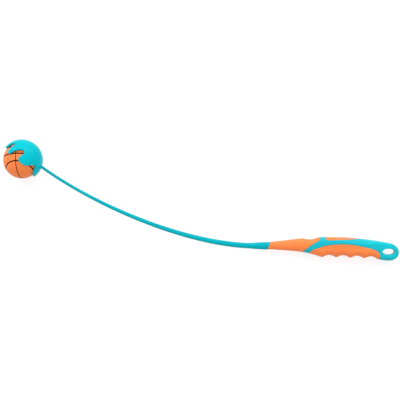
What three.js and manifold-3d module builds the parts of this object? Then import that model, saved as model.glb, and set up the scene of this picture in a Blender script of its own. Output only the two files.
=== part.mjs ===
// Dog ball thrower: a long springy arm with a six-fingered cup that grips a hollow rubber ball
// at one end, and a hollow two-colour handle with a hanging hole at the other.
// Lengths are millimetres and angles are degrees. In the thrower's own frame the ball's centre
// is the origin, X runs along the thrower to the handle, Y is up in its middle plane and Z is
// across it. The last lines lay the whole thrower down on its side, as it rests on a table.
import * as THREE from "three";
import { mergeVertices } from "three/addons/utils/BufferGeometryUtils.js";
import Module from "manifold-3d";

const wasm = await Module();
wasm.setup();

// Fits
const gap = 0.3; // between two pieces that touch
const overrun = 4; // how far a cutter runs past what it cuts

// Ball
const ballRadius = 30;
const ballWall = 5;
const seamWidth = 2.2;
const seamDepth = 0.8;
const sideSeamAngle = 58.4; // from the ball's pole, on average
const sideSeamSwing = 8.4; // the side seams' oval goes this much nearer and farther

// Cup
const cupClearance = 0.7; // from the ball to the cup's inner face
const cupWall = 3.1;
const cupRimRound = 1;
const cupAxisAngle = 43.6; // the back of the cup, above the X axis

// Arm
const armRootAngle = -19.2; // where the arm leaves the cup, from the X axis
const armRootSlope = -35.8;
const armRootRadius = 2.3;
const armNeckRadius = 4.8;
const armReach = 380; // from the ball's centre to where the arm runs straight
const armDrop = 139.6;
const neckLength = 21.7; // straight, from there to the shoulder
const neckSwell = 30; // the arm thickens over this length before the shoulder
const shoulderLean = 24; // the shoulder's face, from square to the arm
const tenonRadius = 1.5;
const tangRadius = 4.5;
const flangeRadius = 6.2;
const flangeThickness = 3;
const flangeInset = 10; // from the tang's end

// Handle
const handleLength = 211;
const handleDepth = 32;
const handleWidth = 27;
const tailRound = 15;
const fingerPitch = 22.7;
const fingerDepth = 3.7;
const gripThickness = 2;
const shellWall = 2.1;
const ribThickness = 1.8;
const pegRadius = 1.8;
const pegLength = 4;
const holeLength = 21.2;
const holeHeight = 10.9;
const holeFlare = 1; // how much wider the hole is at its two faces
const holeFromEnd = 16.4;
const holeDrop = 9.4; // the hole's centre, below the arm's axis

// Counts
const ribCount = 3;
const fingerCount = 4;
const cupRimCount = 112;
const armSideCount = 12;
const outerForm = { sideCount: 24, plainCount: 14, grooveCount: 6 };
const innerForm = { sideCount: 16, plainCount: 10, grooveCount: 4 };

// How far the arm's bow keeps its direction at the cup and at its level end, of its span.
const bowShares = [0.315, 0.279];
// Places inside the handle, along its length from the shoulder.
const shellStartShare = 0.19;
const tangEndShare = 0.36;
const cavityShares = [0.4, 0.796];
const firstFingerShare = 0.413;
const frontPegShares = [0.38, 0.12]; // along the length, and up the depth
// How the handle's outline follows its length and depth: along, top, bottom.
const outlineShares = [
  [-0.06, 0.181, -0.184], [0, 0.203, -0.183], [0.091, 0.253, -0.214], [0.183, 0.328, -0.259],
  [0.228, 0.362, -0.289], [0.26, 0.379, -0.32], [0.29, 0.341, -0.357], [0.321, 0.327, -0.4],
  [0.352, 0.364, -0.455], [0.383, 0.428, -0.518], [0.413, 0.453, -0.573], [0.471, 0.442, -0.58],
  [0.566, 0.433, -0.594], [0.659, 0.394, -0.618], [0.78, 0.308, -0.648], [0.843, 0.248, -0.685],
  [0.874, 0.212, -0.725], [0.904, 0.178, -0.75], [0.936, 0.143, -0.754], [1, 0.07, -0.715],
];
// How its section follows its width: along, half width, corner power, flatness of the sides.
const sectionShares = [
  [-0.06, 0.205, 2.1, 1], [0, 0.233, 2.1, 1], [0.091, 0.281, 2.2, 1], [0.183, 0.348, 2.3, 1],
  [0.26, 0.4, 2.3, 1], [0.321, 0.43, 2.4, 1.02], [0.413, 0.474, 2.4, 1.04], [0.525, 0.497, 2.4, 1.05],
  [0.63, 0.5, 2.4, 1.05], [0.733, 0.481, 2.4, 1.05], [0.8, 0.44, 2.4, 1.08], [0.85, 0.37, 2.4, 1.3],
  [0.868, 0.36, 2.4, 1.4], [1, 0.36, 2.4, 1.4],
];
// Edges of the soft grips in the side view: shares of the handle's length and depth.
const neckGripRearShares = [
  [0.413, 0.55], [0.396, 0.424], [0.378, 0.26], [0.338, 0.098], [0.295, -0.105], [0.265, -0.285],
  [0.24, -0.45],
];
const fingerGripTopShares = [
  [0.28, -0.49], [0.31, -0.328], [0.345, -0.17], [0.389, -0.075], [0.44, 0.034], [0.516, 0.084],
  [0.552, 0.098], [0.626, 0.075], [0.699, -0.006], [0.772, -0.116], [0.817, -0.22],
  [0.839, -0.318], [0.851, -0.442], [0.853, -0.59], [0.853, -0.85],
];
const thumbPadEdgeShares = [
  [0.436, 0.6], [0.437, 0.42], [0.44, 0.325], [0.452, 0.29], [0.481, 0.292], [0.551, 0.316],
  [0.625, 0.331], [0.678, 0.363], [0.718, 0.43], [0.75, 0.52],
];
// The cup's rim from its top finger round one side to its bottom finger:
// degrees round the cup's axis, degrees from the back of the cup.
const rimAngles = [
  [0, 98.4], [13, 98.2], [22.5, 97.2], [27.8, 93.5], [29.7, 86], [31.3, 77], [34.6, 70.6],
  [40.2, 67.8], [44.6, 70.6], [46.5, 77.5], [46.9, 87], [47.8, 94], [51, 98.4], [56.8, 99.6],
  [60.8, 97.4], [62, 90.4], [64.4, 81.6], [68.4, 73.8], [73.4, 67.4], [79, 63.4], [84.8, 62.7],
  [88.4, 65], [89.2, 69.5], [88.4, 75], [87.6, 81], [88.6, 87.2], [92, 91], [96.5, 92.4],
  [101, 92.6], [106, 92.2], [111.6, 90.8], [117.6, 88], [122.6, 83.4], [127.2, 78.6],
  [132.8, 74.4], [138.7, 71.6], [143.2, 71.2], [146.2, 74.4], [149, 80.6], [152.2, 85.6],
  [156.2, 89.4], [162.5, 94.2], [171, 97.2], [180, 97.8],
];
const ballTurn = [-19.1, -8.7, -1.5]; // how the ball lies in the cup, about X, Y and Z
const restAngles = { tilt: -2, roll: 14.7 }; // how the thrower lies down on a table

const radians = THREE.MathUtils.degToRad;
const cupInnerRadius = ballRadius + cupClearance;
const cupOuterRadius = cupInnerRadius + cupWall;
const handleStart = armReach + neckLength; // the shoulder, on the arm's axis
const handleEnd = handleStart + handleLength;
const tailStart = handleEnd - tailRound;
const shellStart = handleStart + shellStartShare * handleLength;
const tangLength = tangEndShare * handleLength;
const [cavityStart, cavityEnd] = cavityShares.map((share) => handleStart + share * handleLength);
const firstPeak = handleStart + firstFingerShare * handleLength;

// Solids from three.js geometry and back

function solidOf(geometry) {
  const bare = geometry.index ? geometry.toNonIndexed() : geometry.clone();
  bare.deleteAttribute("normal");
  bare.deleteAttribute("uv");
  const merged = mergeVertices(bare);
  const vertProperties = merged.attributes.position.array;
  const made = (triVerts) => new wasm.Manifold(new wasm.Mesh({ numProp: 3, vertProperties, triVerts }));
  const faces = new Uint32Array(merged.index.array);
  const solid = made(faces);
  return solid.volume() > 0 ? solid : made(faces.reverse()); // its faces point out
}

function meshOf(name, solid, material) {
  const { vertProperties, triVerts } = solid.getMesh();
  const geometry = new THREE.BufferGeometry();
  geometry.setAttribute("position", new THREE.BufferAttribute(vertProperties, 3));
  geometry.setIndex(new THREE.BufferAttribute(triVerts, 1));
  geometry.computeVertexNormals();
  const mesh = new THREE.Mesh(geometry, material);
  mesh.name = name;
  return mesh;
}

// A closed skin through rings with one number of points; a ring of one point is a pole.
function skin(rings) {
  const points = rings.flat();
  const faces = [];
  let start = 0;
  for (let i = 1; i < rings.length; i++) {
    const [one, two] = [rings[i - 1], rings[i]];
    const count = Math.max(one.length, two.length);
    const corner = (ring, first, k) => first + (ring.length === 1 ? 0 : k % count);
    for (let k = 0; k < count; k++) {
      const a = corner(one, start, k);
      const b = corner(one, start, k + 1);
      const c = corner(two, start + one.length, k);
      const d = corner(two, start + one.length, k + 1);
      if (a !== b) faces.push(a, b, c);
      if (c !== d) faces.push(b, d, c);
    }
    start += one.length;
  }
  const geometry = new THREE.BufferGeometry().setFromPoints(points);
  geometry.setIndex(faces);
  return solidOf(geometry);
}

function centreOf(ring) {
  const sum = ring.reduce((total, point) => total.add(point), new THREE.Vector3());
  return [sum.divideScalar(ring.length)];
}

function capped(rings) {
  return skin([centreOf(rings[0]), ...rings, centreOf(rings.at(-1))]);
}

// A flat outline in the side view, as thick as the whole handle.
function prism(points) {
  const depth = handleWidth + 2 * overrun;
  const geometry = new THREE.ExtrudeGeometry(new THREE.Shape(points), { depth, bevelEnabled: false });
  return solidOf(geometry.translate(0, 0, -depth / 2));
}

function ballOf(radius) {
  return solidOf(new THREE.SphereGeometry(radius, 64, 32));
}

// A round bar along X or along Z.
function bar(radius, length, along) {
  const geometry = new THREE.CylinderGeometry(radius, radius, length, 24);
  if (along === "x") geometry.rotateZ(-Math.PI / 2).translate(length / 2, 0, 0);
  else geometry.rotateX(Math.PI / 2).translate(0, 0, length / 2);
  return geometry;
}

// A smooth curve through a table's rows, which never overshoots them: column against column 0.
function smooth(table, column) {
  const step = (i) => table[i + 1][0] - table[i][0];
  const rise = (i) => (table[i + 1][column] - table[i][column]) / step(i);
  const slopes = table.map((_, i) => {
    if (i === 0) return rise(0);
    if (i === table.length - 1) return rise(i - 1);
    const [before, after] = [rise(i - 1), rise(i)];
    return before * after > 0 ? (2 * before * after) / (before + after) : 0;
  });
  return (share) => {
    let i = 0;
    while (i < table.length - 2 && share > table[i + 1][0]) i++;
    const width = step(i);
    const t = (share - table[i][0]) / width;
    const [start, end] = [table[i][column], table[i + 1][column]];
    return (
      start * (2 * t ** 3 - 3 * t ** 2 + 1) + slopes[i] * width * (t ** 3 - 2 * t ** 2 + t) +
      end * (3 * t ** 2 - 2 * t ** 3) + slopes[i + 1] * width * (t ** 3 - t ** 2)
    );
  };
}

const topAt = smooth(outlineShares, 1);
const bottomAt = smooth(outlineShares, 2);
const halfWidthAt = smooth(sectionShares, 1);
const powerAt = smooth(sectionShares, 2);
const flatnessAt = smooth(sectionShares, 3);

// Ball: two moulded halves, parted along one of the seams

// One half about its own pole, +Y. Its seams are an oval round the pole, a circle over the
// pole and the parting edge.
function ballHalf() {
  const plainCount = 7; // columns in each half turn between the two sides of the seam over the pole
  const columns = [];
  for (const base of [0, Math.PI]) {
    for (const side of [-1, 0, 1]) columns.push({ base, side });
    for (let k = 1; k <= plainCount; k++) {
      columns.push({ base: base + (Math.PI * k) / (plainCount + 1), side: null });
    }
  }
  const halfSeam = seamWidth / 2 / ballRadius;
  const widest = Math.PI / (3 * plainCount);
  const turnAt = ({ base, side }, polar) => {
    const turned = Math.min(halfSeam / Math.max(Math.sin(polar), halfSeam), widest);
    return side === null ? base : base + side * turned;
  };
  const innerRadius = ballRadius - ballWall;
  const partingAt = (radius) => Math.PI / 2 - gap / 2 / radius;
  const parting = partingAt(ballRadius);
  // Rows from the pole to the parting edge, along one column: how far from the pole, and whether
  // the row lies in a seam.
  const rowsAt = (turn) => {
    const oval = radians(sideSeamAngle + sideSeamSwing * Math.cos(2 * turn));
    return [
      ...[0.12, 0.36, 0.6, 0.82].map((share) => [oval * share, false]),
      [oval - halfSeam, false], [oval, true], [oval + halfSeam, false],
      ...[0.4, 0.75].map((share) => [THREE.MathUtils.lerp(oval, parting, share), false]),
      [parting - halfSeam, false], [parting, true],
    ];
  };
  const at = (radius, polar, turn) => new THREE.Vector3().setFromSphericalCoords(radius, polar, turn);
  const outer = rowsAt(0).map((_, row) =>
    columns.map((column) => {
      const [polar, inSeam] = rowsAt(column.base)[row];
      const sunk = inSeam || column.side === 0 ? seamDepth : 0;
      return at(ballRadius - sunk, polar, turnAt(column, polar));
    }),
  );
  const innerParting = partingAt(innerRadius);
  const inner = [1, 0.8, 0.6, 0.4, 0.2].map((share) =>
    columns.map((column) => at(innerRadius, innerParting * share, turnAt(column, innerParting))),
  );
  return skin([[at(ballRadius - seamDepth, 0, 0)], ...outer, ...inner, [at(innerRadius, 0, 0)]]);
}

// Cup

const cupAxis = new THREE.Vector3(Math.cos(radians(cupAxisAngle)), Math.sin(radians(cupAxisAngle)), 0);
const cupUp = new THREE.Vector3(-cupAxis.y, cupAxis.x, 0);

function onCup(round, fromBack) {
  const [turn, polar] = [radians(round), radians(fromBack)];
  return new THREE.Vector3()
    .addScaledVector(cupAxis, Math.cos(polar))
    .addScaledVector(cupUp, Math.sin(polar) * Math.cos(turn))
    .add(new THREE.Vector3(0, 0, Math.sin(polar) * Math.sin(turn)));
}

// The rim is one smooth closed curve on a sphere of radius 1, with its points equally spaced.
function cupRim() {
  const oneSide = rimAngles.map(([round, fromBack]) => onCup(round, fromBack));
  const otherSide = rimAngles.slice(1, -1).reverse().map(([round, fromBack]) => onCup(-round, fromBack));
  const curve = new THREE.CatmullRomCurve3([...oneSide, ...otherSide], true, "centripetal");
  return curve.getSpacedPoints(cupRimCount).slice(1).map((point) => point.normalize());
}

function cupShell() {
  const rim = cupRim();
  const inward = rim.map((point, i) => {
    const along = rim[(i + 1) % rim.length].clone().sub(rim.at(i - 1));
    return point.clone().cross(along).normalize();
  });
  // A ring along the rim at one radius, set in from the rim's edge.
  const rimRing = (radius, setIn) =>
    rim.map((point, i) =>
      point.clone().addScaledVector(inward[i], setIn / radius).normalize().multiplyScalar(radius),
    );
  const edgeCount = 4;
  const edge = Array.from({ length: edgeCount + 1 }, (_, k) => {
    const turn = (Math.PI * k) / edgeCount;
    const radius = cupInnerRadius + (cupWall / 2) * (1 + Math.cos(turn));
    return rimRing(radius, cupRimRound * (1 - Math.sin(turn)));
  });
  // Plain circles round the back of the cup, then rings that grow out to the rim's shape.
  const backAngle = 46;
  const circle = (radius, fromBack) =>
    edge[0].map((point) => {
      const round = THREE.MathUtils.radToDeg(Math.atan2(point.z, point.dot(cupUp)));
      return onCup(round, fromBack).multiplyScalar(radius);
    });
  const face = (radius, edgeRing) => {
    const back = circle(radius, backAngle);
    const grown = [1 / 3, 2 / 3].map((share) =>
      back.map((point, i) => point.clone().lerp(edgeRing[i], share).setLength(radius)),
    );
    const pole = [cupAxis.clone().multiplyScalar(radius)];
    return [pole, circle(radius, backAngle / 3), circle(radius, (2 * backAngle) / 3), back, ...grown];
  };
  const outside = face(cupOuterRadius, edge[0]);
  const inside = face(cupInnerRadius, edge.at(-1)).reverse();
  return skin([...outside, ...edge, ...inside]);
}

// Arm

const inMidPlane = (angle) => new THREE.Vector3(Math.cos(radians(angle)), Math.sin(radians(angle)), 0);
const rootDirection = inMidPlane(armRootSlope);
const armRoot = inMidPlane(armRootAngle).multiplyScalar(cupOuterRadius);
const armBend = new THREE.Vector3(armReach, -armDrop, 0); // where the arm has come level

function armBow() {
  const span = armRoot.distanceTo(armBend);
  return new THREE.CubicBezierCurve3(
    armRoot,
    armRoot.clone().addScaledVector(rootDirection, span * bowShares[0]),
    armBend.clone().sub(new THREE.Vector3(span * bowShares[1], 0, 0)),
    armBend,
  );
}

// The arm tapers from the cup to the neck and swells there to the handle's own section.
function armRing(centre, direction) {
  const along = (centre.x - armRoot.x) / (handleStart - armRoot.x);
  const plain = THREE.MathUtils.lerp(armRootRadius, armNeckRadius, Math.max(0, along));
  const swell = THREE.MathUtils.clamp((centre.x - handleStart) / neckSwell + 1, 0, 1);
  const eased = Math.sin((Math.PI / 2) * swell);
  const up = THREE.MathUtils.lerp(plain, ((topAt(0) - bottomAt(0)) / 2) * handleDepth, eased);
  const across = THREE.MathUtils.lerp(plain, halfWidthAt(0) * handleWidth, eased);
  const upward = new THREE.Vector3(-direction.y, direction.x, 0);
  return Array.from({ length: armSideCount }, (_, k) => {
    const turn = (2 * Math.PI * k) / armSideCount;
    return centre.clone()
      .addScaledVector(upward, up * Math.cos(turn))
      .add(new THREE.Vector3(0, 0, across * Math.sin(turn)));
  });
}

// What lies on the handle's side of the arm's leaning shoulder, moved along X by a distance.
function behindShoulder(moved) {
  const reach = handleDepth;
  const lean = reach * Math.tan(radians(shoulderLean));
  const x = handleStart + moved;
  return prism([
    new THREE.Vector2(x - lean, -armDrop - reach), new THREE.Vector2(handleEnd + reach, -armDrop - reach),
    new THREE.Vector2(handleEnd + reach, -armDrop + reach), new THREE.Vector2(x + lean, -armDrop + reach),
  ]);
}

function tangBar(grown) {
  const tang = bar(tangRadius + grown, tangLength + 2 * grown, "x");
  const flange = bar(flangeRadius + grown, flangeThickness + 2 * grown, "x");
  tang.translate(handleStart - grown, -armDrop, 0);
  flange.translate(handleStart + tangLength - flangeInset - grown, -armDrop, 0);
  return solidOf(tang).add(solidOf(flange));
}

// The pin that goes through the cup's wall from the arm's root.
function tenon(radius) {
  const length = 2 * cupWall + 2 * overrun;
  return solidOf(
    bar(radius, length, "x")
      .translate(-length / 2, 0, 0)
      .rotateZ(radians(armRootSlope))
      .translate(armRoot.x, armRoot.y, 0),
  );
}

function armSolid() {
  const bow = armBow();
  const [bowCount, neckCount] = [26, 5];
  const rings = [armRing(armRoot.clone().addScaledVector(rootDirection, -overrun), rootDirection)];
  for (let k = 0; k <= bowCount; k++) {
    rings.push(armRing(bow.getPointAt(k / bowCount), bow.getTangentAt(k / bowCount)));
  }
  const level = new THREE.Vector3(1, 0, 0);
  const shoulderEnd = handleStart + handleDepth * Math.tan(radians(shoulderLean)) * topAt(0) + overrun;
  for (let k = 1; k <= neckCount; k++) {
    const x = THREE.MathUtils.lerp(armReach, shoulderEnd, k / neckCount);
    rings.push(armRing(new THREE.Vector3(x, -armDrop, 0), level));
  }
  const rod = capped(rings).subtract(ballOf(cupOuterRadius + gap)).subtract(behindShoulder(0));
  const pin = tenon(tenonRadius).subtract(ballOf(cupInnerRadius + gap));
  return rod.add(tangBar(0)).add(pin);
}

// Handle

// How deep a finger groove is at x.
function grooveAt(x) {
  const along = (x - firstPeak) / fingerPitch;
  return along > 0 && along < fingerCount ? fingerDepth * Math.abs(Math.sin(Math.PI * along)) : 0;
}

// The handle's section at x, drawn in by an inset. Its outline closes in a round tail, and its
// sides are cut flat where the flatness is over 1.
function handleSection(x, inset, sideCount) {
  const share = (x - handleStart) / handleLength;
  const top = -armDrop + topAt(share) * handleDepth;
  const bottom = -armDrop + bottomAt(share) * handleDepth;
  const waist = (top + bottom) / 2;
  const past = Math.max(0, (x - tailStart) / tailRound);
  const [tailPower, tipPower, tipShare] = [2.3, 6, 0.5];
  const taper = (1 - past ** tailPower) ** (1 / tailPower);
  const narrowing = THREE.MathUtils.lerp(tipShare, 1, Math.sqrt(1 - past ** tipPower));
  const up = (top - waist) * taper - inset;
  const down = (waist - bottom) * taper - grooveAt(x) - inset;
  const halfWidth = halfWidthAt(share) * handleWidth * narrowing - inset;
  const rounded = (value) => Math.sign(value) * Math.abs(value) ** (2 / powerAt(share));
  return Array.from({ length: sideCount }, (_, k) => {
    const turn = (2 * Math.PI * k) / sideCount;
    const across = THREE.MathUtils.clamp(rounded(Math.cos(turn)) * flatnessAt(share), -1, 1);
    const height = rounded(Math.sin(turn));
    return new THREE.Vector3(x, waist + height * (height > 0 ? up : down), halfWidth * across);
  });
}

// The handle's outer form drawn in by an inset, from one x to another. Its stations are close
// together along the finger grooves and round the tail.
function handleForm(inset, from, to) {
  const { sideCount, plainCount, grooveCount } = inset > 0 ? innerForm : outerForm;
  const grooves = fingerPitch * fingerCount;
  const [tailCount, betweenCount] = [8, 3];
  const spaced = (start, end, count) =>
    Array.from({ length: count }, (_, k) => THREE.MathUtils.lerp(start, end, k / count));
  const tail = Array.from({ length: tailCount }, (_, k) =>
    tailStart + tailRound * Math.sin((Math.PI / 2) * (k / tailCount)),
  );
  const stations = [
    ...spaced(handleStart - neckLength / 2, firstPeak, plainCount),
    ...spaced(firstPeak, firstPeak + grooves, grooveCount * fingerCount),
    ...spaced(firstPeak + grooves, tailStart, betweenCount),
    ...tail,
  ].filter((x) => x > from + gap && x < to - gap);
  return capped([from, ...stations, to].map((x) => handleSection(x, inset, sideCount)));
}

const handlePoint = ([along, up]) =>
  new THREE.Vector2(handleStart + along * handleLength, -armDrop + up * handleDepth);

// A smooth edge in the side view, moved sideways to its left by a distance.
function edgeLine(shares, moved) {
  const curve = new THREE.SplineCurve(shares.map(handlePoint));
  const steps = 2 * shares.length;
  return Array.from({ length: steps + 1 }, (_, k) => {
    const tangent = curve.getTangent(k / steps);
    return curve.getPoint(k / steps).add(new THREE.Vector2(-tangent.y, tangent.x).multiplyScalar(moved));
  });
}

function wholeForm() {
  return handleForm(0, handleStart - neckLength / 2, handleEnd - gap);
}

// The three grips' places, each drawn in by an inset on its edges.
function neckPlace(inset) {
  const line = edgeLine(neckGripRearShares, -inset);
  const corners = [
    new THREE.Vector2(line.at(-1).x, line.at(-1).y - handleDepth),
    new THREE.Vector2(armReach, line.at(-1).y - handleDepth),
    new THREE.Vector2(armReach, line[0].y + handleDepth),
    new THREE.Vector2(line[0].x, line[0].y + handleDepth),
  ];
  return prism([...line, ...corners]).intersect(behindShoulder(inset));
}

function fingerPlace(inset) {
  return prism(edgeLine(fingerGripTopShares, -inset));
}

function thumbPlace(inset) {
  return prism(edgeLine(thumbPadEdgeShares, inset));
}

// What the grips lie on: the hard core that starts at the shells' front.
function gripCore(inset) {
  return handleForm(inset, shellStart, tailStart);
}

function neckGrip() {
  return wholeForm().intersect(neckPlace(gap)).subtract(gripCore(gripThickness)).subtract(tangBar(gap));
}

function padIn(place) {
  return wholeForm().intersect(place(gap)).subtract(gripCore(gripThickness));
}

// The hanging hole is an oval that widens a little towards both faces.
function hangingHole() {
  const faceZ = halfWidthAt(1) * handleWidth;
  const heights = [-2, -1, -0.5, 0, 0.5, 1, 2];
  const sides = 24;
  const ovalAt = (share) => {
    const wider = holeFlare * (Math.min(1, share ** 2) - 1);
    return Array.from({ length: sides }, (_, k) => {
      const turn = (2 * Math.PI * k) / sides;
      const x = handleEnd - holeFromEnd + (holeLength / 2 + wider) * Math.cos(turn);
      const y = -armDrop - holeDrop + (holeHeight / 2 + wider) * Math.sin(turn);
      return new THREE.Vector3(x, y, faceZ * share);
    });
  };
  return capped(heights.map(ovalAt));
}

function block(from, to) {
  const box = new THREE.BoxGeometry(to - from, 4 * handleDepth, 2 * handleWidth);
  return solidOf(box.translate((from + to) / 2, -armDrop, 0));
}

// The hollow in the handle, with ribs across it.
function shellCavity() {
  let cavity = handleForm(gripThickness + gap + shellWall, cavityStart, cavityEnd);
  for (let k = 1; k <= ribCount; k++) {
    const x = THREE.MathUtils.lerp(cavityStart, cavityEnd, k / (ribCount + 1));
    cavity = cavity.subtract(block(x - ribThickness / 2, x + ribThickness / 2));
  }
  return cavity;
}

// Pegs that line the two shells up, one before the hollow and one behind it.
function pegs(radius, length) {
  const [along, rise] = frontPegShares;
  const places = [
    [handleStart + along * handleLength, rise * handleDepth],
    [cavityEnd + 2 * pegRadius, -holeDrop],
  ];
  const [front, back] = places.map(([x, y]) =>
    solidOf(bar(radius, length + gap, "z").translate(x, y - armDrop, -length)),
  );
  return front.add(back);
}

// Both shells as one, before they part on the middle plane.
function handleCore() {
  const skinned = wholeForm()
    .intersect(block(shellStart, handleEnd))
    .subtract(neckPlace(0)).subtract(fingerPlace(0)).subtract(thumbPlace(0));
  const under = handleForm(gripThickness + gap, shellStart + gap, tailStart);
  return skinned.add(under).subtract(tangBar(gap)).subtract(shellCavity()).subtract(hangingHole());
}

function sideOf(solid, side) {
  const box = new THREE.BoxGeometry(2 * handleLength, 4 * handleDepth, handleWidth);
  const middle = (side * (handleWidth + gap)) / 2;
  return solid.intersect(solidOf(box.translate(handleStart + handleLength / 2, -armDrop, middle)));
}

// Materials and assembly

const plastic = { roughness: 0.38, metalness: 0 };
const softRubber = { roughness: 0.75, metalness: 0 };
const turquoise = new THREE.MeshStandardMaterial({ color: "#02c6d6", ...plastic });
const deepTurquoise = new THREE.MeshStandardMaterial({ color: "#11aebe", ...plastic });
const orange = new THREE.MeshStandardMaterial({ color: "#fa8c45", ...softRubber });
const ballOrange = new THREE.MeshStandardMaterial({ color: "#f28a52", ...softRubber });

const thrower = new THREE.Group();
thrower.add(meshOf("cup", cupShell().subtract(tenon(tenonRadius + gap)), turquoise));
thrower.add(meshOf("arm", armSolid(), deepTurquoise));

const core = handleCore();
const leftShell = sideOf(core, 1).add(pegs(pegRadius, pegLength));
const rightShell = sideOf(core, -1).subtract(pegs(pegRadius + gap, pegLength + gap));
thrower.add(meshOf("handle_shell_left", leftShell, turquoise));
thrower.add(meshOf("handle_shell_right", rightShell, turquoise));
thrower.add(meshOf("neck_grip", neckGrip(), orange));
thrower.add(meshOf("finger_grip", padIn(fingerPlace), orange));
thrower.add(meshOf("thumb_pad", padIn(thumbPlace), orange));

const half = ballHalf();
["ball_upper_half", "ball_lower_half"].forEach((name, i) => {
  const mesh = meshOf(name, half, ballOrange);
  mesh.rotation.set(...ballTurn.map(radians));
  mesh.rotateZ(i * Math.PI);
  thrower.add(mesh);
});

thrower.rotation.set(radians(restAngles.roll), radians(restAngles.tilt), 0);
const part = new THREE.Group();
part.add(thrower);
part.updateMatrixWorld(true);
const box = new THREE.Box3().setFromObject(part, true);
part.position.set(-(box.min.x + box.max.x) / 2, -(box.min.y + box.max.y) / 2, -box.min.z);

export default part;
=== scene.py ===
import math

import bmesh
import bpy
import numpy as np
from mathutils import Matrix, Vector
from mathutils.geometry import delaunay_2d_cdt
from mathutils.kdtree import KDTree


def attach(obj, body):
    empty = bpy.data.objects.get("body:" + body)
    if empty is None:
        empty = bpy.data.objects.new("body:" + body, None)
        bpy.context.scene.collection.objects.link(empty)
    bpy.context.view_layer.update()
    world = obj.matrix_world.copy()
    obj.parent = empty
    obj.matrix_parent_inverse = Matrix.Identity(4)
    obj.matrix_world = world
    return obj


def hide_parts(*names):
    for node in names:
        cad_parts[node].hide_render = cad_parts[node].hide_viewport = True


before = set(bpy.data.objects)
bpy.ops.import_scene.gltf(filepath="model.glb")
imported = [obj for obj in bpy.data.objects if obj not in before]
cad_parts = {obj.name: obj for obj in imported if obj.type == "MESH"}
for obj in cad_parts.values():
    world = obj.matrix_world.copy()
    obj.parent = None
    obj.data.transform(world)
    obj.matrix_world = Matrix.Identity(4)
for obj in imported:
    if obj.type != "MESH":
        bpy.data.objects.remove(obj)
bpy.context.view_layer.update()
print("frame loaded:", ", ".join(sorted(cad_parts)))

# Shapes are worked out in millimetres in the thrower's own frame: the ball's centre is the
# origin, X runs to the handle, Y is up in the middle plane and Z is across. restPlace then
# lays them down as the frame has them, in metres.
rest = {"ballCentre": (-0.2913825, 0.065306, 0.0332165), "roll": 14.7, "tilt": -2.0}
restTurn = (Matrix.Rotation(math.radians(rest["roll"]), 4, "X")
            @ Matrix.Rotation(math.radians(rest["tilt"]), 4, "Y"))
restPlace = Matrix.Translation(rest["ballCentre"]) @ restTurn @ Matrix.Scale(0.001, 4)


# Camera and surroundings.
cameraSetup = {
    "aimX": 289.9, "aimY": -65.1, "distance": 1500.0, "viewWidth": 651.2,
    "sensorWidth": 36.0, "clipEnd": 60.0,
}
studio = {
    "floorSize": 14.0, "floorHeight": -0.0002, "floorGrey": 0.3, "floorRoughness": 0.9,
    # brightness of the floor and the world, first as it is seen, then as it lights the thrower
    "floorLift": 0.76, "floorGlow": 0.18, "background": 1.0, "worldLight": 0.88,
    "keyFrom": (-0.55, 0.5, 0.67), "keyStrength": 1.05, "keySoftness": 24.0,
    # soft boxes: where, aimed at, width, depth, power and spread in degrees
    "panels": {
        "topPanel": ((400.0, 430.0, 150.0), (400.0, -100.0, 0.0), 0.6, 0.12, 1.2, 180.0),
        "tailPanel": ((650.0, 380.0, 200.0), (636.0, -125.0, 0.0), 0.12, 0.12, 0.032, 16.0),
    },
}


def wire(tree, kind, inputs=None, **settings):
    node = tree.nodes.new(kind)
    for name, value in settings.items():
        setattr(node, name, value)
    for key, value in (inputs or {}).items():
        if isinstance(value, bpy.types.NodeSocket):
            tree.links.new(value, node.inputs[key])
        else:
            node.inputs[key].default_value = value
    return node


def calc(tree, operation, *values):
    return wire(tree, "ShaderNodeMath", dict(enumerate(values)), operation=operation).outputs[0]


def mapped(tree, value, start, end, low=0.0, high=1.0, shape="SMOOTHSTEP"):
    # a value that goes from start to end, made one that goes from low to high
    return wire(tree, "ShaderNodeMapRange", {
        "Value": value, "From Min": start, "From Max": end, "To Min": low, "To Max": high},
        interpolation_type=shape).outputs["Result"]


def newGroup(name, kind, inputs, outputs):
    tree = bpy.data.node_groups.new(name, kind)
    for socketName, socketType, value in inputs:
        socket = tree.interface.new_socket(socketName, in_out="INPUT", socket_type=socketType)
        if value is not None:
            socket.default_value = value
    for socketName, socketType in outputs:
        tree.interface.new_socket(socketName, in_out="OUTPUT", socket_type=socketType)
    return tree, tree.nodes.new("NodeGroupInput").outputs, tree.nodes.new("NodeGroupOutput").inputs


def colour(text):
    # hex text to the linear colour that a socket takes
    parts = [int(text[i:i + 2], 16) / 255 for i in (1, 3, 5)]
    linear = [c / 12.92 if c <= 0.04045 else ((c + 0.055) / 1.055) ** 2.4 for c in parts]
    return (*linear, 1.0)


def newObject(name, data):
    made = bpy.data.objects.new(name, data)
    bpy.context.scene.collection.objects.link(made)
    return made


def addCamera():
    lens = bpy.data.cameras.new("camera")
    lens.sensor_width = cameraSetup["sensorWidth"]
    lens.lens = lens.sensor_width * cameraSetup["distance"] / cameraSetup["viewWidth"]
    lens.clip_end = cameraSetup["clipEnd"]
    camera = newObject("camera", lens)
    eye = restPlace @ Vector((cameraSetup["aimX"], cameraSetup["aimY"], cameraSetup["distance"]))
    camera.matrix_world = Matrix.Translation(eye) @ restTurn
    bpy.context.scene.camera = camera


def addSun(name, towards, strength, softness):
    lamp = bpy.data.lights.new(name, "SUN")
    lamp.energy = strength
    lamp.angle = math.radians(softness)
    sun = newObject(name, lamp)
    sun.matrix_world = Vector(towards).to_track_quat("Z", "Y").to_matrix().to_4x4()


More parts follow.
